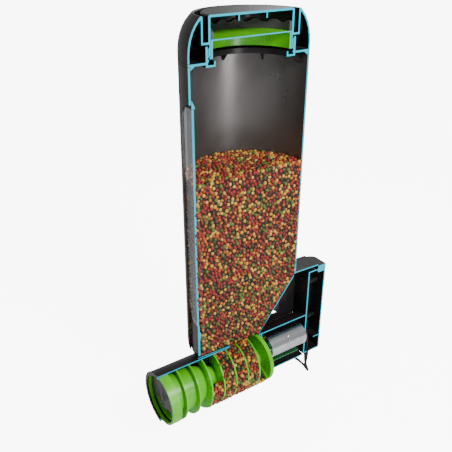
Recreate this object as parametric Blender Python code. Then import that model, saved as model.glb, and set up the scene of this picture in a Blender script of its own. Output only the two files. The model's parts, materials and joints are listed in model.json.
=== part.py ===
# Automatic pet feeder, sectioned down its middle plane to show how it works.
# Millimetres in the tables and outlines below; MM turns them into Blender's metres.
# The section plane is x = 0 and everything cast or moulded keeps its half at x < 0.
# The hopper's axis is x = 0, y = 0, and the spout points to -Y.

import math

import bmesh
import bpy

MM = 0.001
GAP = 0.3

# Driving dimensions
HOPPER_R = 87.5
HOPPER_WALL = 3.0
HOPPER_TOP = 488.0
TUBE_R = 40.5
TUBE_WALL = 2.2
TUBE_FRONT = -147.0
TUBE_BACK = 30.0
THROAT = {"front": -30.0, "back": 22.0, "half": 28.0, "top": 82.8}
SLOPE_TOP = 165.0
KIBBLE_TOP = 344.0
MOTOR_Z = 51.4
MOTOR_R = 18.5
GEAR_IDLER = (-7.612, 46.985)
AUGER_R = 37.6
AUGER_CORE = [(-140.0, 29.0), (-97.0, 29.0), (-79.0, 22.0), (-58.0, 14.0), (20.0, 14.0)]
AUGER_PITCH = 20.3
FLIGHT_START = -119.0
FLIGHT_THICK = 2.2
NECK_R = 64.2
THREAD = {"root": 59.2, "crest": 60.8, "pitch": 5.0, "lead": 15.0, "gap": 0.5, "datum": 480.0}
LID_RIM = 491.4
LID_TOP = 541.2
HOUSING_HALF = 32.0
HOUSING_BACK = 147.5
PARTITION_Y = 113.6
SEAT_Z = 2.5
WINDOW = {"half": 25.0, "top": 446.0, "bottom": 137.0, "pane_r": 84.2, "pane": 3.0}
CORD_R = 2.25
CORD_EXIT = (-3.5, 124.0)
TABLE_Z = -56.0
COIL = {"x": -103.2, "y": 93.0, "inside": 13.5, "outside": 34.0, "height": 9.2}
ARC_STEP = 6.0

# The seat under the rear compartment is the model's origin, so all parts hang from this point.
SEAT = (-20.0, 131.0, SEAT_Z)


def clear_scene():
    for thing in list(bpy.data.objects):
        bpy.data.objects.remove(thing, do_unlink=True)


def make_material(name, colour, roughness, metallic=0.0, alpha=1.0):
    material = bpy.data.materials.new(name)
    material.use_nodes = True
    shader = material.node_tree.nodes["Principled BSDF"]
    shader.inputs["Base Color"].default_value = (*colour, 1.0)
    shader.inputs["Roughness"].default_value = roughness
    shader.inputs["Metallic"].default_value = metallic
    shader.inputs["Alpha"].default_value = alpha
    return material


def finish_object(name, mesh_builder, material):
    bmesh.ops.remove_doubles(mesh_builder, verts=mesh_builder.verts, dist=0.00001)
    bmesh.ops.recalc_face_normals(mesh_builder, faces=mesh_builder.faces)
    mesh = bpy.data.meshes.new(name)
    mesh_builder.to_mesh(mesh)
    mesh_builder.free()
    thing = bpy.data.objects.new(name, mesh)
    bpy.context.scene.collection.objects.link(thing)
    if material:
        mesh.materials.append(material)
    mesh.shade_smooth()
    mesh.set_sharp_from_angle(angle=math.radians(35))
    return thing


def turn_point(axis, centre, radius, along, angle):
    """A point at radius from a Z or Y axis; angle 0 is +Y (or +Z) and 90 is -X."""
    side = -radius * math.sin(math.radians(angle))
    front = radius * math.cos(math.radians(angle))
    if axis == "Z":
        return ((centre[0] + side) * MM, (centre[1] + front) * MM, along * MM)
    return ((centre[0] + side) * MM, along * MM, (centre[1] + front) * MM)


def lathe(name, profile, material, axis="Z", centre=(0.0, 0.0), sweep=(0.0, 180.0), profile_at=None):
    """A closed (radius, along) outline turned about an axis, with flat ends unless it goes right round."""
    whole = sweep[1] - sweep[0] >= 359.9
    largest = max(r for r, along in (profile_at(0) if profile_at else profile))
    arc_step = ARC_STEP * (1 if largest > 16 else 2 if largest > 8 else 4)
    steps = max(2, round((sweep[1] - sweep[0]) / arc_step))
    rows = []
    builder = bmesh.new()
    for step in range(steps if whole else steps + 1):
        angle = sweep[0] + (sweep[1] - sweep[0]) * step / steps
        outline = profile_at(angle) if profile_at else profile
        rows.append([builder.verts.new(turn_point(axis, centre, r, along, angle)) for r, along in outline])
    outline = profile_at(sweep[0]) if profile_at else profile
    for row, following in zip(rows, rows[1:] + rows[:1] if whole else rows[1:]):
        for index in range(len(row)):
            after = (index + 1) % len(row)
            if outline[index][0] == 0 and outline[after][0] == 0:
                continue
            builder.faces.new((row[index], row[after], following[after], following[index]))
    if not whole:
        builder.faces.new(rows[0])
        builder.faces.new(list(reversed(rows[-1])))
    return finish_object(name, builder, material)


def prism(name, outline, axis, low, high, material):
    """An outline pushed straight from low to high: (y, z) along X, (x, z) along Y or (x, y) along Z."""
    place = {"X": lambda a, b, c: (c, a, b), "Y": lambda a, b, c: (a, c, b),
             "Z": lambda a, b, c: (a, b, c)}[axis]
    builder = bmesh.new()
    ends = []
    for level in (low, high):
        ends.append([builder.verts.new([v * MM for v in place(a, b, level)]) for a, b in outline])
    for index in range(len(outline)):
        after = (index + 1) % len(outline)
        builder.faces.new((ends[0][index], ends[0][after], ends[1][after], ends[1][index]))
    builder.faces.new(ends[0])
    builder.faces.new(list(reversed(ends[1])))
    return finish_object(name, builder, material)


def box(name, low, high, material):
    outline = [(low[0], low[1]), (high[0], low[1]), (high[0], high[1]), (low[0], high[1])]
    return prism(name, outline, "Z", low[2], high[2], material)


def ring(name, inner, outer, low, high, material, **options):
    return lathe(name, [(inner, low), (outer, low), (outer, high), (inner, high)], material, **options)


def rod(name, radius, low, high, material, **options):
    options.setdefault("sweep", (0.0, 360.0))
    return lathe(name, [(0, low), (radius, low), (radius, high), (0, high)], material, axis="Y", **options)


def sweep_loops(name, loops, material):
    """A solid through a row of matching closed loops of points, capped at both ends."""
    builder = bmesh.new()
    rows = [[builder.verts.new([v * MM for v in point]) for point in loop] for loop in loops]
    for row, following in zip(rows, rows[1:]):
        for index in range(len(row)):
            after = (index + 1) % len(row)
            builder.faces.new((row[index], row[after], following[after], following[index]))
    builder.faces.new(rows[0])
    builder.faces.new(list(reversed(rows[-1])))
    return finish_object(name, builder, material)


def combine(target, tool, operation):
    tool.hide_render = True
    tool.display_type = "WIRE"
    modifier = target.modifiers.new(tool.name, "BOOLEAN")
    modifier.operation = operation
    modifier.object = tool
    return target


def cut(target, *tools):
    for tool in tools:
        combine(target, tool, "DIFFERENCE")
    return target


def join(target, *tools):
    for tool in tools:
        combine(target, tool, "UNION")
    return target


def arc(centre, radius, start, end, steps):
    """Points on a plain circle, degrees counted from the outline's first axis towards its second."""
    angles = [math.radians(start + (end - start) * step / steps) for step in range(steps + 1)]
    return [(centre[0] + radius * math.cos(a), centre[1] + radius * math.sin(a)) for a in angles]


# Lid thread: three starts, so the profile climbs one lead per turn while its teeth stay a pitch apart.
def thread_outline(low, high, offset, angle):
    """(radius, z) points up one side of the threaded wall at an angle, plain at both ends."""
    half = THREAD["pitch"] / 2
    plain = THREAD["root"] if offset == 0 else THREAD["crest"] + offset
    # Angles grow anticlockwise seen from above, so a right-hand thread climbs with them.
    phase = THREAD["datum"] + THREAD["lead"] * angle / 360
    points = [(plain, low)]
    for index in range(math.ceil((high - THREAD["datum"]) / half)):
        level = phase + half * index
        crest = THREAD["crest"] if index % 2 else THREAD["root"]
        inside = low + 0.4 < level < high - 0.4
        limit = low if level <= low + 0.4 else high
        points.append((crest + offset, level) if inside else (plain, limit))
    points.append((plain, high))
    return points


def lid_profile(angle):
    top, rim = LID_TOP, LID_RIM
    knob = [(0, top), (58.8, top), (60.3, top - 1.5), (60.3, 512.6)]
    moat = [(67.2, 512.6), (67.2, top - 1.9), (68.2, top - 0.8), (70.3, top - 0.8)]
    dome = [(73.5, 537), (78, 531.5), (81.8, 525), (84.8, 517), (86.6, 509), (87.5, 500), (87.5, rim)]
    under = [(85, rim), (85, 500), (84.1, 508.5), (82.4, 516), (79.5, 523.6), (76, 529.6), (71.8, 534.8)]
    well = [(69.7, 536.2), (69.7, 510.0)]
    skirt = list(reversed(thread_outline(494.6, 507.4, 0, angle)))
    inside = [(THREAD["root"], 493.8), (57.3, 493.8), (57.3, top - 2.8)]
    rib = [(20.6, top - 2.8), (20.6, top - 9), (18.6, top - 9), (18.6, top - 2.8), (0, top - 2.8)]
    return knob + moat + dome + under + well + [(THREAD["root"], 510.0)] + skirt + inside + rib


def neck_profile(angle):
    top = HOPPER_TOP + 3.1
    flange = HOPPER_TOP + GAP
    outside = [(HOPPER_R, flange), (HOPPER_R, top), (NECK_R, top), (NECK_R, 508.0)]
    inside = list(reversed(thread_outline(489.5, 507.2, THREAD["gap"], angle)))
    wall = THREAD["crest"] + THREAD["gap"]
    gutter = [(wall, 487.6), (53.2, 487.6), (53.2, 491.8), (51.0, 491.8), (51.0, 485.2), (NECK_R, 485.2)]
    spigot = [(NECK_R, flange), (78.5, flange), (84.2, 484.0), (84.2, flange)]
    return outside + [(wall, 508.0)] + inside + gutter + spigot


def retainer_profile(angle):
    """The retainer's top edge drops a little in every other step, which leaves a row of teeth."""
    top = 526.5 if round(angle / ARC_STEP) % 4 < 2 else 523.0
    return [(53.6, 515.3), (56.6, 515.3), (56.6, top), (53.6, top)]


def make_lid(plastic, green, rubber, grey):
    lathe("lid_cap", None, plastic, profile_at=lid_profile)
    cup = [(0, 515.0), (57.0, 515.0), (57.0, 494.2), (54.6, 494.2), (54.6, 513.5), (0, 513.5)]
    lathe("lid_cup", cup, green)
    lathe("lid_retainer", None, grey, profile_at=retainer_profile)
    ring("lid_seal", 60.9, 64.0, 508.3, 509.7, rubber)


def make_neck(plastic):
    neck = lathe("hopper_neck", None, plastic, profile_at=neck_profile)
    for index in range(5):
        angle = 9 + 36 * index
        outline = [(66.0, 489.5), (84.0, 489.5), (84.0, 471.6), (83.0, 471.6), (66.0, 485.5)]
        rib = prism("gusset_%d" % index, [(-r, z) for r, z in outline], "Y", -1.1, 1.1, None)
        rib.rotation_euler[2] = math.radians(angle - 90)
        join(neck, rib)


def make_hopper(plastic):
    inner = HOPPER_R - HOPPER_WALL
    shell = [(inner, 81.3), (85.8, 81.6), (87.0, 84.0), (HOPPER_R, 88.0), (HOPPER_R, HOPPER_TOP),
             (inner, HOPPER_TOP)]
    hopper = lathe("hopper_shell", shell, plastic)
    half, top = WINDOW["half"], WINDOW["top"]
    slot = [(1.0, 60.0), (1.0, top)] + arc((0, top - half), half, 90, 180, 8) + [(-half, 60.0)]
    housing = HOUSING_HALF - 2.8
    cut(hopper, prism("window_slot", slot, "Y", -100, -60, None))
    cut(hopper, box("housing_way", (-housing, 40, 60), (1, 100, SLOPE_TOP + 0.2), None))


def funnel_loops(lift, radius):
    """Matching rims of the funnel: a tilted half circle on the hopper wall and the throat below."""
    tilt = (SLOPE_TOP - 84.0) / (2 * radius)
    throat = THROAT
    corners = [(0, throat["back"]), (-throat["half"], throat["back"]), (-throat["half"], throat["front"]),
               (0, throat["front"])]
    lengths = [throat["half"], throat["back"] - throat["front"], throat["half"]]
    outer, inner = [], []
    steps = 30
    for step in range(steps + 1):
        angle = math.radians(180 * step / steps)
        x, y = -radius * math.sin(angle), radius * math.cos(angle)
        outer.append((x, y, 84.0 + tilt * (y + radius) + lift))
        travel = sum(lengths) * step / steps
        side = 0
        while side < 2 and travel > lengths[side]:
            travel -= lengths[side]
            side += 1
        share = travel / lengths[side]
        start, end = corners[side], corners[side + 1]
        inner.append((start[0] + (end[0] - start[0]) * share, start[1] + (end[1] - start[1]) * share,
                      throat["top"] + lift))
    return outer, inner


def make_funnel(plastic):
    outer, inner = funnel_loops(0, HOPPER_R - HOPPER_WALL - GAP)
    loops = []
    for rim, mouth in zip(outer, inner):
        share = (rim[1] + HOPPER_R) / (2 * HOPPER_R)
        rim_under = (rim[0], rim[1], rim[2] - 1.3 - 2.6 * share)
        mouth_under = (mouth[0], mouth[1], mouth[2] - 1.3)
        loops.append([rim, rim_under, mouth_under, mouth])
    sweep_loops("hopper_funnel", loops, plastic)


def make_kibble(food):
    outer, inner = funnel_loops(2.2, HOPPER_R - HOPPER_WALL - 0.4)
    loops = []
    for rim, mouth in zip(outer, inner):
        loops.append([(rim[0], rim[1], KIBBLE_TOP), rim, (mouth[0] * 0.98, mouth[1], mouth[2])])
    builder = bmesh.new()
    rows = [[builder.verts.new([v * MM for v in point]) for point in loop] for loop in loops]
    for row, following in zip(rows, rows[1:]):
        for index in (0, 1):
            builder.faces.new((row[index], row[index + 1], following[index + 1], following[index]))
    builder.faces.new([row[0] for row in rows])
    builder.faces.new([row[2] for row in rows])
    builder.faces.new(rows[0] + list(reversed(rows[-1])))
    fill = finish_object("kibble_fill", builder, food)
    pane = WINDOW["pane_r"] - WINDOW["pane"] - GAP
    room = [(95, 70), (77.8, 70), (77.8, WINDOW["bottom"] + 26), (pane, WINDOW["bottom"] + 28), (pane, 400),
            (95, 400)]
    cut(fill, lathe("window_room", room, None, sweep=(162.0, 181.0)))


def make_window(clear, plastic):
    outer = WINDOW["pane_r"]
    inner = outer - WINDOW["pane"]
    half, bottom, top = WINDOW["half"], WINDOW["bottom"], WINDOW["top"]
    reach = math.degrees(math.asin((half - 1.0) / outer))
    sweep = (180 - reach, 180.0)
    pane = ring("window_pane", inner, outer, bottom, top - 5.5, clear, sweep=sweep)
    corner = arc((0, bottom + half + 1), half - 0.8, 180, 270, 12)
    foot = [(-half - 5, bottom - 5)] + corner + [(3, bottom - 5)]
    cut(pane, prism("pane_foot", foot, "Y", -100, -60, None))
    lip = [(inner - 0.3, bottom + half), (inner - 1.0, 128), (78.4, 125), (78.4, 119), (80.0, 113),
           (80.0, 86.8),
           (83.6, 86.8), (83.6, bottom + half)]
    sill = lathe("window_sill", lip, plastic, sweep=sweep)
    hollow = arc((0, bottom + half + 1), half - 0.5, 0, 360, 40)[:-1]
    cut(sill, prism("sill_hollow", hollow, "Y", -100, -60, None))
    clip = [(outer, top + 6), (79.4, top - 3.2), (79.4, top - 5.1), (outer, top - 5.1)]
    lathe("window_clip", clip, plastic, sweep=sweep)


def make_tube(plastic):
    inner = TUBE_R - TUBE_WALL
    centre = (0.0, TUBE_R)
    tube = ring("auger_tube", inner, TUBE_R, TUBE_FRONT, TUBE_BACK, plastic, axis="Y", centre=centre)
    throat = THROAT
    mouth = box("throat_mouth", (-throat["half"], throat["front"], TUBE_R), (1, throat["back"], 100), None)
    cut(tube, mouth)
    ring("spout_ring", 35.6, TUBE_R + 0.6, TUBE_FRONT - 2.2, TUBE_FRONT - GAP, plastic, axis="Y",
         centre=centre)
    tunnel_back = PARTITION_Y - GAP
    ring("motor_tunnel", inner - 0.4, TUBE_R - 0.4, TUBE_BACK + GAP, tunnel_back, plastic, axis="Y",
         centre=centre)


def make_auger(green, plastic, food, steel):
    axle = {"axis": "Y", "centre": (0.0, TUBE_R)}
    front, disc = TUBE_FRONT + 0.3, 17.5
    collar = [(0, front + 7), (34.8, front + 7), (34.8, front), (37.9, front), (37.9, front + 13.7),
              (35.0, front + 13.7), (35.0, front + 9.6), (29.0, front + 9.6)]
    core = [(radius, along) for along, radius in AUGER_CORE[1:-1]] + [(AUGER_CORE[-1][1], disc)]
    body = collar + core + [(AUGER_R, disc), (AUGER_R, disc + 6), (3.4, disc + 6), (3.4, 6), (0, 6)]
    whole = {"sweep": (0.0, 360.0)}
    screw = lathe("auger_screw", body, green, **axle, **whole)
    first, last, spacing = -227, 2401, 18
    loops = []
    for angle in range(first, last + 1, spacing):
        along = FLIGHT_START + AUGER_PITCH * angle / 360
        loops.append(flight_section(angle, along, core_radius(along) - 1.5, AUGER_R, FLIGHT_THICK / 2))
    join(screw, sweep_loops("auger_flight", loops, None))
    window = [(17.0, front + 3), (33.6, front + 3), (33.6, front + 12), (17.0, front + 12)]
    screw_window = lathe("dose_window", window, None, **axle, sweep=(120.0, 240.0))
    cut(screw, screw_window)
    face = [(0, front + 2.6), (5, front + 2.6), (8, front + 4.0), (34.4, front + 4.0), (34.4, front + 6.7),
            (0, front + 6.7)]
    nose = lathe("auger_nose", face, plastic, **axle, **whole)
    cut(nose, screw_window)
    make_auger_kibble(food)
    shaft = [(0, 9), (3.0, 9), (3.0, 43.7), (5.85, 43.7), (5.85, 56.0), (0, 56.0)]
    lathe("output_shaft", shaft, steel, **axle, **whole)


def core_radius(along):
    """The auger core's radius, which grows towards the spout to meter a small portion."""
    for (start, first), (end, last) in zip(AUGER_CORE, AUGER_CORE[1:]):
        if along <= end:
            return first + (last - first) * (along - start) / (end - start)
    return AUGER_CORE[-1][1]


def flight_section(angle, along, inner, outer, half):
    """The flight's rectangle at one angle, as points of the shared frame in millimetres."""
    spots = [(inner, along - half), (outer, along - half), (outer, along + half), (inner, along + half)]
    return [[v / MM for v in turn_point("Y", (0.0, TUBE_R), r, y, angle)] for r, y in spots]


def make_auger_kibble(food):
    """The food in the auger's channels: a half-filled one in front, then full ones."""
    half = (AUGER_PITCH - FLIGHT_THICK) / 2 - 0.4
    for name, first, last in (("auger_kibble_front", 468, 648), ("auger_kibble", 846, 2034)):
        loops = []
        for angle in range(first, last + 1, 18):
            along = FLIGHT_START + AUGER_PITCH * (angle / 360 + 0.5)
            inner = core_radius(along - half) + 0.5
            loops.append(flight_section(angle, along, inner, AUGER_R - 1.4, half))
        sweep_loops(name, loops, food)


def make_gearmotor(steel, dark, brass, rubber, plastic):
    body = {"axis": "Y", "centre": (0.0, MOTOR_Z), "sweep": (0.0, 360.0)}
    output = {"axis": "Y", "centre": (0.0, TUBE_R), "sweep": (0.0, 360.0)}
    radius = MOTOR_R
    front = arc((0, MOTOR_Z), radius, 3, 363, 32)[:-1]
    gearbox = prism("gearbox_case", front, "Y", 35.6, 38.1, steel)
    join(gearbox, ring("case_wall", radius - 1.5, radius - 0.2, 36.9, 68.6, None, **body))
    boss = {"centre": (0.0, TUBE_R), "sweep": (5.0, 365.0)}
    join(gearbox, rod("case_boss", 7.0, 28.9, 37.0, None, **boss))
    cut(gearbox, rod("boss_hole", 5.2, 28.0, 39.0, None, **boss))
    ring("output_bushing", 3.15, 5.0, 29.0, 38.0, brass, **output)
    ring("gearbox_plate", 3.0, radius - 1.8, 66.0, 68.5, steel, **body)
    can = [(5.0, 68.9), (radius - 0.3, 68.9), (radius - 0.3, 102.4), (radius - 1.6, 102.4),
           (radius - 1.6, 70.4), (5.0, 70.4)]
    lathe("motor_can", can, steel, **body)
    ring("motor_magnet", 13.0, radius - 2.0, 73.0, 95.0, dark, **body)
    ring("motor_end_cap", 2.0, radius - 2.0, 99.4, 101.8, dark, **body)
    rotor = [(0, 57.3), (2.05, 57.3), (2.05, 63.6), (1.4, 63.6), (1.4, 74.0), (12.4, 74.0), (12.4, 94.0),
             (1.4, 94.0), (1.4, 101.0), (0, 101.0)]
    lathe("motor_rotor", rotor, steel, **body)
    idler = [(0, 40.6), (1.2, 40.6), (1.2, 44.0), (3.85, 44.0), (3.85, 57.4), (6.45, 57.4), (6.45, 63.4),
             (1.2, 63.4), (1.2, 65.6), (0, 65.6)]
    lathe("reduction_gear", idler, brass, axis="Y", centre=GEAR_IDLER, sweep=(0.0, 360.0))
    ring("shaft_seal", 3.3, 7.0, 25.7, 28.4, rubber, **output)
    bulkhead = [(7.4, 25.6), (38.0, 25.6), (38.0, 28.4), (7.4, 28.4)]
    wall = lathe("motor_bulkhead", bulkhead, plastic, axis="Y", centre=(0.0, TUBE_R))
    for index, height in enumerate((MOTOR_Z + 7.5, MOTOR_Z - 7.5)):
        spot = {"centre": (-12.0, height)}
        name = "%d" % (index + 1)
        cut(wall, rod("bulkhead_hole_" + name, 1.8, 20, 35, None, **spot))
        cut(gearbox, rod("case_hole_" + name, 1.8, 30, 39, None, **spot))
        whole = {"axis": "Y", "sweep": (0.0, 360.0), **spot}
        ring("motor_standoff_" + name, 1.85, 3.4, 28.7, 35.3, brass, **whole)
        screw = [(0, 24.0), (2.8, 24.0), (2.8, 25.3), (1.5, 25.3), (1.5, 40.0), (0, 40.0)]
        lathe("motor_screw_" + name, screw, steel, **whole)


def make_motor_bay(plastic, board, brass):
    reach = TUBE_R - TUBE_WALL - 0.8
    cradle = box("motor_cradle", (-reach, 79.0, 25.7), (0, PARTITION_Y - 2 * GAP, 28.2), plastic)
    inside = rod("cradle_limit", reach, 70, 120, None, centre=(0.0, TUBE_R))
    combine(cradle, inside, "INTERSECT")
    box("control_board", (-22.0, 42.0, 12.0), (-3.0, 106.0, 13.6), board)
    for index, along in enumerate((48.0, 100.0)):
        post = [(0, 5.6), (2.5, 5.6), (2.5, 11.7), (0, 11.7)]
        lathe("board_post_%d" % (index + 1), post, brass, centre=(-10.0, along), sweep=(0.0, 360.0))


def make_housing(plastic):
    half, radius = HOUSING_HALF, TUBE_R - 0.4
    bottom = [(0, SEAT_Z)] + [(x, z) for x, z in arc((0, TUBE_R), radius, 270, 142, 22)[1:] if z > SEAT_Z]
    wall = bottom + [(-half, 158.5), (0, 158.5)]
    partition = prism("rear_partition", wall, "Y", PARTITION_Y, PARTITION_Y + 2.5, plastic)
    hook = box("partition_hook", (-half + 2.8, PARTITION_Y + 1, 156.2), (0, 129.5, 158.5), None)
    lead_hole = rod("lead_hole", 3.0, 100, 130, None, centre=(CORD_EXIT[0], 48.0))
    cut(join(partition, hook), lead_hole)
    roof = [(80.0, 166.0), (132.0, 164.3), (132.0, 166.8), (80.0, 168.5)]
    shell = prism("housing_shell", roof, "X", -half, 0, plastic)
    side = box("housing_side", (-half, TUBE_BACK + 1, 50.0), (-half + 2.5, PARTITION_Y - GAP, 167.0), None)
    hopper = rod_upright("hopper_outline", HOPPER_R + GAP, 80.9, 200)
    tunnel = rod("tunnel_outline", TUBE_R, 20, 120, None, centre=(0.0, TUBE_R))
    cut(join(shell, side), hopper, tunnel)
    outline = cover_outline(2.8) + [(0, PARTITION_Y + 2.8)]
    floor = prism("compartment_floor", outline, "Z", SEAT_Z, 5.0, plastic)
    gland_hole = rod_upright("gland_hole", 4.4, 0, 10)
    gland_hole.location = (CORD_EXIT[0] * MM, CORD_EXIT[1] * MM, 0)
    cut(floor, gland_hole)


def rod_upright(name, radius, low, high):
    return lathe(name, [(0, low), (radius, low), (radius, high), (0, high)], None, sweep=(0.0, 360.0))


def cover_outline(inset):
    """Plan of the rear cover: flat side, rounded rear corner and flat back."""
    half, back, radius = HOUSING_HALF - inset, HOUSING_BACK - inset, 12.0 - inset
    corner = arc((-half + radius, back - radius), radius, 180, 90, 8)
    return [(-half, PARTITION_Y + 2.8)] + corner + [(0, back)]


def make_rear_cover(plastic, steel):
    outer, inner = cover_outline(0), cover_outline(2.5)
    cover = prism("rear_cover", outer + list(reversed(inner)), "Z", SEAT_Z, 163.5, plastic)
    top = prism("cover_top", [(x, max(y, 132.3)) for x, y in outer] + [(0, 132.3)], "Z", 161.0, 163.5, None)
    edge = [(131.0, 159.0), (134.5, 162.0), (146.0, 162.0), (146.0, 151.5), (134.0, 151.5), (131.0, 154.5)]
    latch = prism("cover_latch", edge, "X", -HOUSING_HALF + 8, 0, None)
    shelf = box("cover_shelf", (-HOUSING_HALF + 1, 133.0, 28.0), (0, 146.5, 30.0), None)
    join(cover, top, latch, shelf)
    for index, height in enumerate((128.0, 62.0)):
        name = "%d" % (index + 1)
        spot = {"axis": "Y", "centre": (-16.0, height), "sweep": (0.0, 360.0)}
        cut(cover, rod("cover_hole_" + name, 1.8, 140, 150, None, centre=spot["centre"]))
        boss = [(1.8, PARTITION_Y + 2.8), (4.2, PARTITION_Y + 2.8), (3.6, 144.7), (1.8, 144.7)]
        lathe("cover_boss_" + name, boss, plastic, **spot)
        screw = [(0, 126.0), (1.5, 126.0), (1.5, 147.8), (2.9, 147.8), (2.9, 149.4), (0, 149.4)]
        lathe("cover_screw_" + name, screw, steel, **spot)


def smooth_route(points, spacing):
    """Evenly spaced points on one smooth curve through the route's own points."""
    dense = []
    ends = [tuple(2 * a - b for a, b in zip(points[0], points[1]))]
    tail = [tuple(2 * a - b for a, b in zip(points[-1], points[-2]))]
    chain = ends + list(points) + tail
    for before, start, end, after in zip(chain, chain[1:], chain[2:], chain[3:]):
        for step in range(24):
            t = step / 24
            weights = (-t + 2 * t * t - t ** 3, 2 - 5 * t * t + 3 * t ** 3, t + 4 * t * t - 3 * t ** 3,
                       t ** 3 - t * t)
            near = (before, start, end, after)
            dense.append([sum(w * p[k] for w, p in zip(weights, near)) / 2 for k in range(3)])
    dense.append(list(points[-1]))
    lengths = [0.0]
    for start, end in zip(dense, dense[1:]):
        lengths.append(lengths[-1] + math.dist(start, end))
    count = max(2, round(lengths[-1] / spacing))
    route, index = [], 0
    for step in range(count + 1):
        target = lengths[-1] * step / count
        while index < len(lengths) - 2 and lengths[index + 1] < target:
            index += 1
        share = (target - lengths[index]) / (lengths[index + 1] - lengths[index])
        route.append([a + (b - a) * share for a, b in zip(dense[index], dense[index + 1])])
    return route


def make_tube_along(name, route, radius, material):
    curve = bpy.data.curves.new(name, "CURVE")
    curve.dimensions = "3D"
    curve.bevel_depth = radius * MM
    curve.bevel_resolution = 2
    curve.use_fill_caps = True
    spline = curve.splines.new("POLY")
    spline.points.add(len(route) - 1)
    for point, spot in zip(spline.points, route):
        point.co = (*[v * MM for v in spot], 1.0)
    curve.materials.append(material)
    thing = bpy.data.objects.new(name, curve)
    bpy.context.scene.collection.objects.link(thing)
    return thing


# The lead's free stretches: down from the gland and over the table to the coil, then on to the plug.
CORD_ROUTE = [(-3.5, 124.0, -20.4), (-3.5, 124.4, -25), (-3.7, 127, -33), (-6, 132.5, -44),
              (-14, 139, -51.5), (-27, 143, -53.6), (-42, 143.5, -53.75), (-58, 141, -53.75),
              (-75, 136.5, -53.75), (-90, 132, -53.75), (-103, 129.8, -53.75)]
TAIL_ROUTE = [(-139.9, 96, -49.3), (-140.3, 88, -50.2), (-142.6, 80.5, -50.3), (-146.5, 74, -49.1),
              (-151, 69, -48.4)]


def make_cord(rubber, steel):
    exit_x, exit_y = CORD_EXIT
    gland = [(0, -20.0), (2.6, -20.0), (3.9, -3.0), (4.0, 5.3), (5.6, 5.3), (5.6, 6.8), (2.6, 6.8),
             (2.6, 9.0), (0, 9.0)]
    lathe("cord_gland", gland, rubber, centre=CORD_EXIT, sweep=(0.0, 360.0))
    inner = [(exit_x, exit_y, 9.3), (exit_x, exit_y - 0.2, 20), (exit_x, exit_y - 1.5, 34),
             (exit_x, 120.6, 44), (exit_x, 117.2, 48.0)]
    make_tube_along("inner_lead", smooth_route(inner, 5), 1.8, rubber)
    make_tube_along("cord_lead", smooth_route(CORD_ROUTE, 5), CORD_R, rubber)
    coil = COIL
    ring("cord_coil", coil["inside"], coil["outside"], TABLE_Z, TABLE_Z + coil["height"], rubber,
         centre=(coil["x"], coil["y"]), sweep=(0.0, 360.0))
    make_tube_along("cord_tail", smooth_route(TAIL_ROUTE, 5), CORD_R, rubber)
    make_plug(rubber, steel)


def make_plug(rubber, steel):
    """The plug lies on its side on the table, in line with the end of the lead."""
    outline = [(-5.5, 0.6), (5.5, 0.6), (12, 11), (12, 26), (-12, 26), (-12, 11)]
    plug = prism("power_plug", outline, "Z", -7.5, 7.5, rubber)
    pins = [box("plug_pin_1", (-7.1, 26.3, -3.2), (-5.6, 43, 3.2), steel),
            box("plug_pin_2", (5.6, 26.3, -3.2), (7.1, 43, 3.2), steel)]
    for thing in (plug, *pins):
        thing.location = (-151.0 * MM, 69.0 * MM, (TABLE_Z + 7.6) * MM)
        thing.rotation_euler[2] = math.radians(138)


def hang_on_seat():
    """Everything is parented to the seat point, which becomes the model's origin."""
    root = bpy.data.objects.new("feeder", None)
    bpy.context.scene.collection.objects.link(root)
    for thing in bpy.data.objects:
        if thing is not root:
            thing.parent = root
    root.location = [-v * MM for v in SEAT]


def main():
    clear_scene()
    black = make_material("black_plastic", (0.022, 0.019, 0.022), 0.35)
    green = make_material("green_plastic", (0.16, 0.55, 0.03), 0.4)
    clear = make_material("clear_window", (0.8, 0.8, 0.8), 0.08, alpha=0.35)
    grey = make_material("grey_plastic", (0.12, 0.11, 0.12), 0.5)
    rubber = make_material("black_rubber", (0.015, 0.015, 0.015), 0.7)
    steel = make_material("steel", (0.62, 0.62, 0.64), 0.25, metallic=1.0)
    brass = make_material("brass", (0.6, 0.45, 0.18), 0.35, metallic=1.0)
    board = make_material("board", (0.02, 0.09, 0.04), 0.6)
    food = make_material("kibble", (0.42, 0.22, 0.12), 0.9)
    make_lid(black, green, rubber, grey)
    make_neck(black)
    make_hopper(black)
    make_funnel(black)
    make_kibble(food)
    make_window(clear, black)
    make_tube(black)
    make_auger(green, black, food, steel)
    make_gearmotor(steel, grey, brass, rubber, black)
    make_motor_bay(black, board, brass)
    make_housing(black)
    make_rear_cover(black, steel)
    make_cord(rubber, steel)
    hang_on_seat()


main()
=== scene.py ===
# Looks of the sectioned automatic pet feeder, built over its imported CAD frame.
# Run it in Blender 4.5; everything is in metres, in the frame's own axes.
import json
import math

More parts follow.
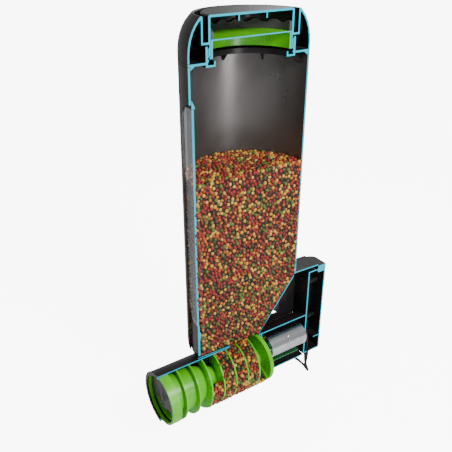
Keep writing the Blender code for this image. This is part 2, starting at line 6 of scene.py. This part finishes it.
import bmesh
import bpy
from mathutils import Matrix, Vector


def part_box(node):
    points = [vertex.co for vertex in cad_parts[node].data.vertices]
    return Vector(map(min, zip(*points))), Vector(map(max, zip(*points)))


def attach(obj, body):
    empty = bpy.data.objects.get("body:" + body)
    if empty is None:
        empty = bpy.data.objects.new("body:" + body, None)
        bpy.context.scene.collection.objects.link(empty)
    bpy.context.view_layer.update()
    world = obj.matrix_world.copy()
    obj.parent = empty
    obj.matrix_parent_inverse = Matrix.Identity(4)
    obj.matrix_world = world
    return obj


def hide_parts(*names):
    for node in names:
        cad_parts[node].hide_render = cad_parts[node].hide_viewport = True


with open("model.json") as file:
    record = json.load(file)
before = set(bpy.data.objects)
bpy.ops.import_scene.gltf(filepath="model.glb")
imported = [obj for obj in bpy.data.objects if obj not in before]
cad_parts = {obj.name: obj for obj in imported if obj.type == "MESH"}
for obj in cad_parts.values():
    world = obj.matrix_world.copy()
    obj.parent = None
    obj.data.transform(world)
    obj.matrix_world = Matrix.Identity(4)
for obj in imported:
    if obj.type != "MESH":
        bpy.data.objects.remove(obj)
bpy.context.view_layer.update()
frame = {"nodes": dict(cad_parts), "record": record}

mm = 0.001
lowCase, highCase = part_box("hopper_shell")
sectionX = highCase.x  # the plane that the casings are cut on
axisY = (lowCase.y + highCase.y) / 2  # the hopper's upright axis is at sectionX, axisY
tubeLow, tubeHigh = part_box("auger_tube")
tubeZ = (tubeLow.z + tubeHigh.z) / 2
seat = Vector((0.020, -0.131, -0.0025))  # from the hopper axis at the tube's underside to the origin

cameraStyle = {"place": (0.5870, -0.5442, 0.6250), "tilt": 62.93, "turn": 56.45, "lens": 46.94}
lightStyle = {
    "key": {"place": (0.85, -0.05, 1.0), "aim": (-0.02, -0.12, 0.25), "size": 0.35, "power": 17.0},
    "side": {"place": (1.1, -0.02, 0.35), "aim": (-0.02, -0.13, 0.36), "size": 0.3, "power": 3.0},
    "rim": {"place": (-0.5, 0.5, 0.9), "aim": (-0.02, -0.12, 0.35), "size": 0.5, "power": 2.0},
    "world": 0.4, "floorGlow": 8.0, "floorMargin": 16.0}
tableZ = -56.0  # the table's height in the section's own millimetres
cordStyle = {"diameter": 0.0045, "pitch": 0.0045, "step": 0.004, "sides": 6}
kibbleStyle = {
    "size": 6.3, "spacing": 4.1, "seed": 7, "rings": 5, "segments": 8,
    "sectionShift": -0.0009, "windowShift": -0.0026,  # pellets sit this far into the food, in metres
    "tones": ["#C87F14", "#7E0806", "#3C560A", "#D9AA45", "#9C1206", "#8A0A07", "#A8480C", "#142808",
              "#CC9A2C", "#620605", "#4A6614", "#7E0806"]}


def hexColour(code):
    channels = [int(code[i:i + 2], 16) / 255 for i in (1, 3, 5)]
    return [c / 12.92 if c <= 0.04045 else ((c + 0.055) / 1.055) ** 2.4 for c in channels] + [1.0]


def inFrame(x, y, z):
    return Vector((x * mm, y * mm, z * mm)) + seat


def addCamera():
    data = bpy.data.cameras.new("product camera")
    data.lens = cameraStyle["lens"]
    data.sensor_width = 36
    data.clip_start = 0.01
    camera = bpy.data.objects.new("product camera", data)
    camera.location = cameraStyle["place"]
    camera.rotation_euler = (math.radians(cameraStyle["tilt"]), 0, math.radians(cameraStyle["turn"]))
    bpy.context.scene.collection.objects.link(camera)
    bpy.context.scene.camera = camera


def addLight(name, style):
    data = bpy.data.lights.new(name, "AREA")
    data.shape = "DISK"
    data.size = style["size"]
    data.energy = style["power"]
    lamp = bpy.data.objects.new(name, data)
    lamp.location = style["place"]
    lamp.rotation_euler = (Vector(style["aim"]) - Vector(style["place"])).to_track_quat("-Z", "Y").to_euler()
    bpy.context.scene.collection.objects.link(lamp)


def addStage(floorZ):
    world = bpy.data.worlds.new("studio")
    world.use_nodes = True
    seen = addNode(world.node_tree, "ShaderNodeLightPath").outputs["Is Camera Ray"]
    glow = addNode(world.node_tree, "ShaderNodeMath",
                   {0: seen, 1: lightStyle["floorGlow"], 2: lightStyle["world"]}, operation="MULTIPLY_ADD")
    world.node_tree.nodes["Background"].inputs["Color"].default_value = (1, 1, 1, 1)
    world.node_tree.links.new(glow.outputs[0], world.node_tree.nodes["Background"].inputs["Strength"])
    bpy.context.scene.world = world
    mesh = bpy.data.meshes.new("floor")
    reach = lightStyle["floorMargin"]
    mesh.from_pydata([(-reach, -reach, floorZ), (reach, -reach, floorZ), (reach, reach, floorZ),
                      (-reach, reach, floorZ)], [], [(0, 1, 2, 3)])
    floor = bpy.data.objects.new("floor", mesh)
    bpy.context.scene.collection.objects.link(floor)
    material = bpy.data.materials.new("studio paper")
    material.use_nodes = True
    paper = material.node_tree.nodes["Principled BSDF"]
    paper.inputs["Base Color"].default_value = hexColour("#FBFBFB")
    paper.inputs["Roughness"].default_value = 0.95
    seen = addNode(material.node_tree, "ShaderNodeLightPath").outputs["Is Camera Ray"]
    glow = addNode(material.node_tree, "ShaderNodeMath", {0: seen, 1: lightStyle["floorGlow"]},
                   operation="MULTIPLY")
    paper.inputs["Emission Color"].default_value = (1, 1, 1, 1)
    material.node_tree.links.new(glow.outputs[0], paper.inputs["Emission Strength"])
    mesh.materials.append(material)


leadRoute = [(-3.5, 124.0, -20.0), (-3.5, 124.4, -25), (-3.7, 127, -33), (-6, 132.5, -44),
             (-14, 139, -51.5), (-27, 143, -53.6), (-42, 143.5, -53.75), (-58, 141, -53.75),
             (-75, 136.5, -53.75), (-90, 132, -53.75), (-103, 129.8, -53.75)]
tailRoute = [(-139.9, 96, -49.3), (-140.3, 88, -50.2), (-142.6, 80.5, -50.3), (-146.5, 74, -49.1),
             (-151, 69, -48.4)]
coilStyle = {"centre": (-103.2, 93.0), "outer": 31.75, "low": -53.75, "layerTurns": 3.5, "riseTurns": 0.5,
             "turns": 7.25, "lead": 36.8, "blend": 0.3, "shrink": 0.5, "points": 180}


# The lead's centre after so many turns: inwards on the table, then outwards on top.
def coilPoint(turn):
    style = coilStyle
    pitch = cordStyle["pitch"] / mm
    inner = style["outer"] - pitch * style["layerTurns"]
    outwards = style["layerTurns"] + style["riseTurns"]
    if turn < style["layerTurns"]:
        radius, lift = style["outer"] - pitch * turn, 0.0
    elif turn < outwards:
        share = (turn - style["layerTurns"]) / style["riseTurns"]
        radius, lift = inner - style["shrink"] * share, pitch * share * share * (3 - 2 * share)
    else:
        radius, lift = inner - style["shrink"] + pitch * (turn - outwards), pitch
    for edge in (turn, style["turns"] - turn):
        if edge < style["blend"]:
            share = 1 - edge / style["blend"]
            radius += (style["lead"] - radius) * share * share
    angle = math.radians(90 + 360 * turn)
    x, y = style["centre"]
    return (x + radius * math.cos(angle), y + radius * math.sin(angle), style["low"] + lift)


# A curve through the points, in steps of about cordStyle["step"].
def smoothLine(points):
    knots = [Vector(p) for p in points]
    chain = [2 * knots[0] - knots[1]] + knots + [2 * knots[-1] - knots[-2]]
    dense = []
    for a, b, c, d in zip(chain, chain[1:], chain[2:], chain[3:]):
        count = max(2, round((c - b).length / (cordStyle["step"] / mm)))
        for step in range(count):
            t = step / count
            dense.append(0.5 * (2 * b + (c - a) * t + (2 * a - 5 * b + 4 * c - d) * t * t
                                + (3 * b - a - 3 * c + d) * t ** 3))
    return dense + [knots[-1]]


def addLead(material):
    count = coilStyle["points"]
    coil = [coilPoint(coilStyle["turns"] * step / count) for step in range(1, count)]
    route = smoothLine(leadRoute + coil + tailRoute[1:])
    points = [inFrame(*p) for p in route]
    curve = bpy.data.curves.new("lead", "CURVE")
    curve.dimensions = "3D"
    curve.bevel_depth = cordStyle["diameter"] / 2
    curve.bevel_resolution = cordStyle["sides"]
    curve.use_fill_caps = True
    spline = curve.splines.new("POLY")
    spline.points.add(len(points) - 1)
    for knot, point in zip(spline.points, points):
        knot.co = (*point, 1.0)
    spline.use_smooth = True
    curve.materials.append(material)
    lead = bpy.data.objects.new("lead", curve)
    bpy.context.scene.collection.objects.link(lead)
    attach(lead, "feeder_body")
    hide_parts("cord_lead", "cord_coil", "cord_tail")


def addNode(tree, kind, inputs=None, **settings):
    node = tree.nodes.new(kind)
    for name, value in settings.items():
        setattr(node, name, value)
    for name, value in (inputs or {}).items():
        socket = node.inputs[name]
        if isinstance(value, bpy.types.NodeSocket):
            tree.links.new(value, socket)
        else:
            socket.default_value = value
    return node


def startMaterial(name):
    material = bpy.data.materials.new(name)
    material.use_nodes = True
    tree = material.node_tree
    return material, tree, tree.nodes["Principled BSDF"]


def mixColour(tree, share, first, second):
    node = addNode(tree, "ShaderNodeMix", {0: share, 6: first, 7: second}, data_type="RGBA")
    return node.outputs[2]


def rampBetween(tree, value, low, high):
    node = addNode(tree, "ShaderNodeMapRange", {"Value": value, "From Min": low, "From Max": high})
    return node.outputs["Result"]


# One on the flat faces that the section plane cut, where the plastic is painted, and zero elsewhere.
def cutMask(tree):
    coords = addNode(tree, "ShaderNodeTexCoord")
    place = addNode(tree, "ShaderNodeSeparateXYZ", {0: coords.outputs["Object"]})
    facing = addNode(tree, "ShaderNodeSeparateXYZ", {0: coords.outputs["Normal"]})
    onPlane = addNode(tree, "ShaderNodeMath", {0: place.outputs[0], 1: sectionX, 2: 0.0003},
                      operation="COMPARE")
    outward = addNode(tree, "ShaderNodeMath", {0: facing.outputs[0], 1: 0.7}, operation="GREATER_THAN")
    both = addNode(tree, "ShaderNodeMath", {0: onPlane.outputs[0], 1: outward.outputs[0]},
                   operation="MULTIPLY")
    return both.outputs[0]


# Injection-moulded plastic: a fine spark-eroded grain, cloudy gloss and a few upright scuffs.
def mouldedPlastic(name, style):
    material, tree, shader = startMaterial(name)
    coords = addNode(tree, "ShaderNodeTexCoord").outputs["Object"]
    clouds = addNode(tree, "ShaderNodeTexNoise", {"Vector": coords, "Scale": 28.0, "Detail": 5.0}).outputs[0]
    grain = addNode(tree, "ShaderNodeTexNoise", {"Vector": coords, "Scale": 1900.0, "Detail": 2.0}).outputs[0]
    stretched = addNode(tree, "ShaderNodeMapping", {"Vector": coords, "Scale": (900.0, 900.0, 14.0)})
    scratches = addNode(tree, "ShaderNodeTexNoise", {"Vector": stretched.outputs[0], "Scale": 1.0,
                        "Detail": 3.0}).outputs[0]
    fine = rampBetween(tree, scratches, 0.62, 0.7)
    body = mixColour(tree, rampBetween(tree, clouds, 0.3, 0.7), hexColour(style["dark"]),
                     hexColour(style["light"]))
    rough = addNode(tree, "ShaderNodeMapRange", {"Value": clouds, "From Min": 0.3, "From Max": 0.7,
                    "To Min": style["rough"] - 0.05, "To Max": style["rough"] + 0.06}).outputs["Result"]
    rough = addNode(tree, "ShaderNodeMath", {0: fine, 1: 0.08, 2: rough},
                    operation="MULTIPLY_ADD").outputs[0]
    if "cut" in style:
        mask = cutMask(tree)
        paint = mixColour(tree, rampBetween(tree, clouds, 0.35, 0.65), hexColour(style["cut"]),
                          hexColour(style["cutDark"]))
        body = mixColour(tree, mask, body, paint)
        glow = mixColour(tree, mask, (0, 0, 0, 1), paint)
        tree.links.new(glow, shader.inputs["Emission Color"])
        shader.inputs["Emission Strength"].default_value = style["cutGlow"]
    tree.links.new(body, shader.inputs["Base Color"])
    tree.links.new(rough, shader.inputs["Roughness"])
    height = addNode(tree, "ShaderNodeMath", {0: fine, 1: -0.5, 2: grain},
                     operation="MULTIPLY_ADD").outputs[0]
    bump = addNode(tree, "ShaderNodeBump", {"Height": height, "Strength": style["bump"],
                   "Distance": 0.00008})
    tree.links.new(bump.outputs[0], shader.inputs["Normal"])
    shader.inputs["Specular IOR Level"].default_value = style["shine"]
    return material


# The hopper wall: its outside like the casing, its inside a smoother, silkier grey whose lighter tone is
# painted sheen, standing in for the light along the inner wall.
def hopperPlastic(style):
    material = mouldedPlastic("ABS moulded hopper", style)
    tree = material.node_tree
    shader = tree.nodes["Principled BSDF"]
    coords = addNode(tree, "ShaderNodeTexCoord")
    away = addNode(tree, "ShaderNodeVectorMath", {0: coords.outputs["Object"], 1: (sectionX, axisY, 0.0)},
                   operation="SUBTRACT").outputs[0]
    flat = addNode(tree, "ShaderNodeVectorMath", {0: away, 1: (1.0, 1.0, 0.0)},
                   operation="MULTIPLY").outputs[0]
    facing = addNode(tree, "ShaderNodeVectorMath", {0: flat, 1: coords.outputs["Normal"]},
                     operation="DOT_PRODUCT").outputs["Value"]
    inside = addNode(tree, "ShaderNodeMath", {0: facing, 1: -0.01}, operation="LESS_THAN").outputs[0]
    outerColour = shader.inputs["Base Color"].links[0].from_socket
    # painted sheen: the inside gets a lighter grey than the same black plastic outside
    colour = mixColour(tree, inside, outerColour, hexColour(style["inside"]))
    tree.links.new(colour, shader.inputs["Base Color"])
    silky = addNode(tree, "ShaderNodeMath", {0: inside, 1: style["insideSilk"]},
                    operation="MULTIPLY").outputs[0]
    tree.links.new(silky, shader.inputs["Metallic"])
    return material


# Plated or turned metal: fine rings round the motor's axis and faint stains.
def turnedMetal(name, style):
    material, tree, shader = startMaterial(name)
    coords = addNode(tree, "ShaderNodeTexCoord").outputs["Object"]
    stretched = addNode(tree, "ShaderNodeMapping", {"Vector": coords, "Scale": (6.0, 3500.0, 6.0)}).outputs[0]
    rings = addNode(tree, "ShaderNodeTexNoise", {"Vector": stretched, "Scale": 1.0, "Detail": 3.0}).outputs[0]
    stain = addNode(tree, "ShaderNodeTexNoise", {"Vector": coords, "Scale": 90.0, "Detail": 6.0}).outputs[0]
    colour = mixColour(tree, rampBetween(tree, stain, 0.4, 0.75), hexColour(style["light"]),
                       hexColour(style["dark"]))
    rough = addNode(tree, "ShaderNodeMapRange", {"Value": stain, "From Min": 0.3, "From Max": 0.7,
                    "To Min": style["rough"] - 0.04, "To Max": style["rough"] + 0.08}).outputs["Result"]
    bump = addNode(tree, "ShaderNodeBump", {"Height": rings, "Strength": style["bump"], "Distance": 0.00003})
    tree.links.new(colour, shader.inputs["Base Color"])
    tree.links.new(rough, shader.inputs["Roughness"])
    tree.links.new(bump.outputs[0], shader.inputs["Normal"])
    shader.inputs["Metallic"].default_value = 1.0
    return material


# Clear polycarbonate: a thin tinted sheet with faint moulding ripples.
def clearPane(style):
    material, tree, shader = startMaterial("polycarbonate clear")
    coords = addNode(tree, "ShaderNodeTexCoord").outputs["Object"]
    ripple = addNode(tree, "ShaderNodeTexNoise", {"Vector": coords, "Scale": 35.0, "Detail": 1.0}).outputs[0]
    bump = addNode(tree, "ShaderNodeBump", {"Height": ripple, "Strength": 0.05, "Distance": 0.0004})
    tree.links.new(bump.outputs[0], shader.inputs["Normal"])
    shader.inputs["Roughness"].default_value = 0.06
    shader.inputs["IOR"].default_value = 1.58
    mask = cutMask(tree)
    edge = mixColour(tree, mask, hexColour(style["tint"]), hexColour(style["edge"]))
    tree.links.new(edge, shader.inputs["Base Color"])
    solid = addNode(tree, "ShaderNodeMath", {0: mask, 1: 1 - style["alpha"], 2: style["alpha"]},
                    operation="MULTIPLY_ADD")
    tree.links.new(solid.outputs[0], shader.inputs["Alpha"])
    return material


# Green solder mask over copper tracks, which show as a fine raised brick pattern.
def circuitBoard():
    material, tree, shader = startMaterial("solder mask")
    coords = addNode(tree, "ShaderNodeTexCoord").outputs["Object"]
    tracks = addNode(tree, "ShaderNodeTexBrick", {"Vector": coords, "Scale": 90.0, "Mortar Size": 0.04,
                     "Color1": hexColour("#14452A"), "Color2": hexColour("#10381F"),
                     "Mortar": hexColour("#2F7A46")})
    tree.links.new(tracks.outputs[0], shader.inputs["Base Color"])
    grain = addNode(tree, "ShaderNodeTexNoise", {"Vector": coords, "Scale": 700.0}).outputs[0]
    bump = addNode(tree, "ShaderNodeBump", {"Height": grain, "Strength": 0.2, "Distance": 0.0001})
    tree.links.new(bump.outputs[0], shader.inputs["Normal"])
    shader.inputs["Roughness"].default_value = 0.35
    return material


# Baked pellets: a colour of their own, a little floury bloom and a pitted crust.
def bakedKibble():
    material, tree, shader = startMaterial("baked kibble")
    coords = addNode(tree, "ShaderNodeTexCoord").outputs["Object"]
    tone = addNode(tree, "ShaderNodeAttribute", attribute_name="pelletTone").outputs["Fac"]
    ramp = addNode(tree, "ShaderNodeValToRGB", {"Fac": tone})
    ramp.color_ramp.interpolation = "CONSTANT"
    tones = kibbleStyle["tones"]
    stops = ramp.color_ramp.elements  # the ramp starts with two
    for index, code in enumerate(tones):
        stop = stops[index] if index < 2 else stops.new(index / len(tones))
        stop.position = index / len(tones)
        stop.color = hexColour(code)
    bloom = addNode(tree, "ShaderNodeTexNoise", {"Vector": coords, "Scale": 420.0, "Detail": 4.0}).outputs[0]
    dusty = mixColour(tree, rampBetween(tree, bloom, 0.6, 1.9), ramp.outputs[0], hexColour("#D9B580"))
    crust = addNode(tree, "ShaderNodeTexNoise", {"Vector": coords, "Scale": 1400.0, "Detail": 4.0}).outputs[0]
    shade = mixColour(tree, rampBetween(tree, crust, 0.62, 0.3), dusty, hexColour("#5A3420"))
    final = mixColour(tree, 0.35, shade, dusty)
    bump = addNode(tree, "ShaderNodeBump", {"Height": crust, "Strength": 0.5, "Distance": 0.0003})
    tree.links.new(final, shader.inputs["Base Color"])
    tree.links.new(bump.outputs[0], shader.inputs["Normal"])
    shader.inputs["Roughness"].default_value = 0.55
    return material


# Painted shade: a dark brown fill under the pellets, standing in for the shaded depths in the gaps between
# them.
def kibbleGapShade():
    material, tree, shader = startMaterial("kibble crumb")
    coords = addNode(tree, "ShaderNodeTexCoord").outputs["Object"]
    cells = addNode(tree, "ShaderNodeTexVoronoi", {"Vector": coords, "Scale": 230.0}).outputs[0]
    # painted shade in dark brown cells, for the shadowed gaps between pellets
    colour = mixColour(tree, rampBetween(tree, cells, 0.1, 0.7), hexColour("#3A1C0E"), hexColour("#0C0705"))
    bump = addNode(tree, "ShaderNodeBump", {"Height": cells, "Strength": 0.8, "Distance": 0.001},
                   invert=True)
    tree.links.new(colour, shader.inputs["Base Color"])
    tree.links.new(bump.outputs[0], shader.inputs["Normal"])
    shader.inputs["Roughness"].default_value = 0.9
    return material


cutPaint = {"cut": "#00A4BC", "cutDark": "#009AB2", "cutGlow": 0.16}
plasticStyle = {
    "casing": {"dark": "#171416", "light": "#1F1B1D", "rough": 0.34, "bump": 0.25, "shine": 0.28, **cutPaint},
    "hopper": {"dark": "#171416", "light": "#1F1B1D", "rough": 0.32, "bump": 0.2, "shine": 0.3,
               # the inside colour is painted sheen, lighter than the black plastic it is made of
               "inside": "#6E6B6A", "insideSilk": 0.85, **cutPaint},
    "green": {"dark": "#4FAE08", "light": "#62C90F", "rough": 0.3, "bump": 0.12, "shine": 0.5},
    "cup": {"dark": "#4FAE08", "light": "#62C90F", "rough": 0.3, "bump": 0.12, "shine": 0.5, **cutPaint},
    "grey": {"dark": "#3E3B3E", "light": "#4A474A", "rough": 0.5, "bump": 0.3, "shine": 0.4},
    "rubber": {"dark": "#101010", "light": "#171616", "rough": 0.62, "bump": 0.35, "shine": 0.3}}
metalStyle = {
    "steel": {"light": "#C9CCD0", "dark": "#A4A8AE", "rough": 0.24, "bump": 0.12},
    "brass": {"light": "#D8B565", "dark": "#B08A3C", "rough": 0.28, "bump": 0.25}}
paneStyle = {"tint": "#C9D2D8", "alpha": 0.26, "edge": "#00A4BC"}


def makeMaterials():
    kinds = {key: mouldedPlastic(name, plasticStyle[key]) for key, name in (
        ("casing", "ABS moulded casing"), ("green", "nylon moulded green"), ("cup", "nylon moulded cup"),
        ("grey", "ABS moulded grey"), ("rubber", "PVC and rubber"))}
    kinds["hopper"] = hopperPlastic(plasticStyle["hopper"])
    kinds["steel"] = turnedMetal("steel plated", metalStyle["steel"])
    kinds["brass"] = turnedMetal("brass turned", metalStyle["brass"])
    kinds["pane"] = clearPane(paneStyle)
    kinds["board"] = circuitBoard()
    kinds["gapShade"] = kibbleGapShade()
    kinds["kibble"] = bakedKibble()
    return kinds


slotKinds = {"black_casing": "casing", "green_plastic": "green", "grey_plastic": "grey",
             "black_rubber": "rubber", "steel": "steel", "brass": "brass", "clear_window": "pane",
             "circuit_board": "board", "kibble": "gapShade"}
foodCoreRadius = 0.031  # pellets lie on the food outside this radius of the auger
plainEdge = 0.2  # the rounding of most edges, in millimetres
edgeWidths = {"hopper_shell": 0.35, "lid_cap": 0.3, "rear_cover": 0.5, "housing_shell": 0.5,
              "gearbox_case": 0.5, "motor_can": 0.6, "power_plug": 1.6}
plainNodes = ("cord_lead", "cord_coil", "cord_tail", "inner_lead", "kibble_fill", "auger_kibble",
              "auger_kibble_front")


# A merged, smooth copy of a CAD piece with slightly rounded edges.
def finishPiece(node, body, material):
    source = frame["nodes"][node]
    builder = bmesh.new()
    builder.from_mesh(source.data)
    bmesh.ops.remove_doubles(builder, verts=builder.verts, dist=0.000004)
    bmesh.ops.dissolve_limit(builder, angle_limit=math.radians(0.6), verts=builder.verts,
                             edges=builder.edges)
    mesh = bpy.data.meshes.new(node.replace("_", "-"))
    builder.to_mesh(mesh)
    builder.free()
    if "custom_normal" in mesh.attributes:
        mesh.attributes.remove(mesh.attributes["custom_normal"])  # the frame's are flat
    mesh.shade_smooth()
    mesh.set_sharp_from_angle(angle=math.radians(32))
    mesh.materials.clear()
    mesh.materials.append(material)
    piece = bpy.data.objects.new(node + ".finished", mesh)
    bpy.context.scene.collection.objects.link(piece)
    bevel = piece.modifiers.new("moulded edges", "BEVEL")
    bevel.width = edgeWidths.get(node, plainEdge) * mm
    bevel.segments = 2
    bevel.limit_method = "ANGLE"
    bevel.angle_limit = math.radians(40)
    bevel.harden_normals = True
    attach(piece, body)
    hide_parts(node)


def finishPieces(kinds):
    slots = {part["node"]: part["material_slot"] for part in frame["record"]["subparts"]}
    bodies = {node: body for body, nodes in frame["record"]["behaviour"]["bodies"].items() for node in nodes}
    for node, slotName in slots.items():
        kind = {"hopper_shell": "hopper", "lid_cup": "cup"}.get(node, slotKinds[slotName])
        if node in plainNodes:
            assignMaterial(frame["nodes"][node], kinds[kind])
        else:
            finishPiece(node, bodies[node], kinds[kind])


def assignMaterial(thing, material):
    thing.data.materials.clear()
    thing.data.materials.append(material)


def pelletShapes():
    collection = bpy.data.collections.new("pellets")
    for index, squash in enumerate(((1.0, 1.0, 0.72), (0.92, 0.92, 0.9), (1.08, 0.86, 0.8))):
        builder = bmesh.new()
        bmesh.ops.create_uvsphere(builder, u_segments=kibbleStyle["segments"],
                                  v_segments=kibbleStyle["rings"], radius=kibbleStyle["size"] / 2 * mm)
        bmesh.ops.scale(builder, vec=squash, verts=builder.verts)
        mesh = bpy.data.meshes.new("pellet.%d" % index)
        builder.to_mesh(mesh)
        builder.free()
        mesh.shade_smooth()
        collection.objects.link(bpy.data.objects.new("pellet.%d" % index, mesh))
    return collection


# Pellets at least Spacing apart over a mesh's faces, each with its own turn, size and tone.
def scatterTree(pellets, material):
    tree = bpy.data.node_groups.new("pellet scatter", "GeometryNodeTree")
    for name, kind, way in (
            ("Geometry", "NodeSocketGeometry", "INPUT"), ("Spacing", "NodeSocketFloat", "INPUT"),
            ("Seed", "NodeSocketInt", "INPUT"), ("Geometry", "NodeSocketGeometry", "OUTPUT")):
        tree.interface.new_socket(name, in_out=way, socket_type=kind)
    start = addNode(tree, "NodeGroupInput")
    seed = start.outputs["Seed"]
    points = addNode(tree, "GeometryNodeDistributePointsOnFaces", {"Mesh": start.outputs["Geometry"],
                     "Distance Min": start.outputs["Spacing"], "Density Max": 400000.0, "Seed": seed},
                     distribute_method="POISSON")
    spin = addNode(tree, "FunctionNodeRandomValue", {0: (0, 0, 0), 1: (6.283, 6.283, 6.283), "Seed": seed},
                   data_type="FLOAT_VECTOR")
    size = addNode(tree, "FunctionNodeRandomValue", {2: 0.82, 3: 1.15, "Seed": seed}, data_type="FLOAT")
    shapes = addNode(tree, "GeometryNodeCollectionInfo", {"Collection": pellets, "Separate Children": True,
                     "Reset Children": True})
    placed = addNode(tree, "GeometryNodeInstanceOnPoints", {"Points": points.outputs["Points"],
                     "Instance": shapes.outputs[0], "Pick Instance": True, "Rotation": spin.outputs[0],
                     "Scale": size.outputs[1]})
    tone = addNode(tree, "FunctionNodeRandomValue", {2: 0.0, 3: 0.999, "Seed": seed}, data_type="FLOAT")
    stored = addNode(tree, "GeometryNodeStoreNamedAttribute", {"Geometry": placed.outputs[0],
                     "Name": "pelletTone", "Value": tone.outputs[1]}, data_type="FLOAT", domain="INSTANCE")
    real = addNode(tree, "GeometryNodeRealizeInstances", {"Geometry": stored.outputs[0]})
    painted = addNode(tree, "GeometryNodeSetMaterial", {"Geometry": real.outputs[0], "Material": material})
    addNode(tree, "NodeGroupOutput", {"Geometry": painted.outputs[0]})
    return tree


# The faces of a CAD node that pass the test, moved along their mean normal.
def facesWhere(node, test, shift):
    builder = bmesh.new()
    builder.from_mesh(frame["nodes"][node].data)
    bmesh.ops.remove_doubles(builder, verts=builder.verts, dist=0.000004)
    dropped = [face for face in builder.faces if not test(face.calc_center_median(), face.normal)]
    bmesh.ops.delete(builder, geom=dropped, context="FACES")
    normal = sum((face.normal * face.calc_area() for face in builder.faces), Vector())
    if normal.length > 0 and shift:
        bmesh.ops.translate(builder, vec=normal.normalized() * shift, verts=builder.verts)
    mesh = bpy.data.meshes.new("scatter faces")
    builder.to_mesh(mesh)
    builder.free()
    return mesh


def scatterPellets(name, mesh, body, tree, spacing, seed):
    source = bpy.data.objects.new(name + ".source", mesh)
    bpy.context.scene.collection.objects.link(source)
    modifier = source.modifiers.new("scatter", "NODES")
    modifier.node_group = tree
    for item in tree.interface.items_tree:
        if item.in_out == "INPUT" and item.name == "Spacing":
            modifier[item.identifier] = spacing * mm
        if item.in_out == "INPUT" and item.name == "Seed":
            modifier[item.identifier] = seed
    bpy.context.view_layer.update()
    evaluated = source.evaluated_get(bpy.context.evaluated_depsgraph_get())
    result = bpy.data.meshes.new_from_object(evaluated)
    bpy.data.objects.remove(source, do_unlink=True)
    result.name = name
    piece = bpy.data.objects.new(name, result)
    bpy.context.scene.collection.objects.link(piece)
    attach(piece, body)
    print(name, len(result.polygons), "faces")


def onOuterFood(centre, normal):
    return abs(normal.y) < 0.75 and math.hypot(centre.x - sectionX, centre.z - tubeZ) > foodCoreRadius


def addKibble(kinds):
    tree = scatterTree(pelletShapes(), kinds["kibble"])
    spacing, seed = kibbleStyle["spacing"], kibbleStyle["seed"]
    section = facesWhere("kibble_fill", lambda centre, normal: normal.x > 0.9, kibbleStyle["sectionShift"])
    scatterPellets("kibble.section", section, "feeder_body", tree, spacing, seed)
    top = facesWhere("kibble_fill", lambda centre, normal: normal.z > 0.9, 0.0)
    scatterPellets("kibble.top", top, "feeder_body", tree, spacing, seed + 1)
    window = facesWhere("kibble_fill", lambda centre, normal: normal.y < -0.6, kibbleStyle["windowShift"])
    scatterPellets("kibble.window", window, "feeder_body", tree, spacing, seed + 2)
    for index, node in enumerate(("auger_kibble", "auger_kibble_front")):
        outer = facesWhere(node, onOuterFood, 0.0)
        scatterPellets("kibble.auger.%d" % index, outer, "auger", tree, spacing, seed + 3 + index)


addCamera()
addStage(inFrame(0, 0, tableZ).z)
for lightName in ("key", "side", "rim"):
    addLight(lightName + " light", lightStyle[lightName])
kinds = makeMaterials()
print("camera, stage and materials")
finishPieces(kinds)
print("pieces")
addLead(kinds["rubber"])
addKibble(kinds)
print("kibble")

bpy.context.view_layer.update()
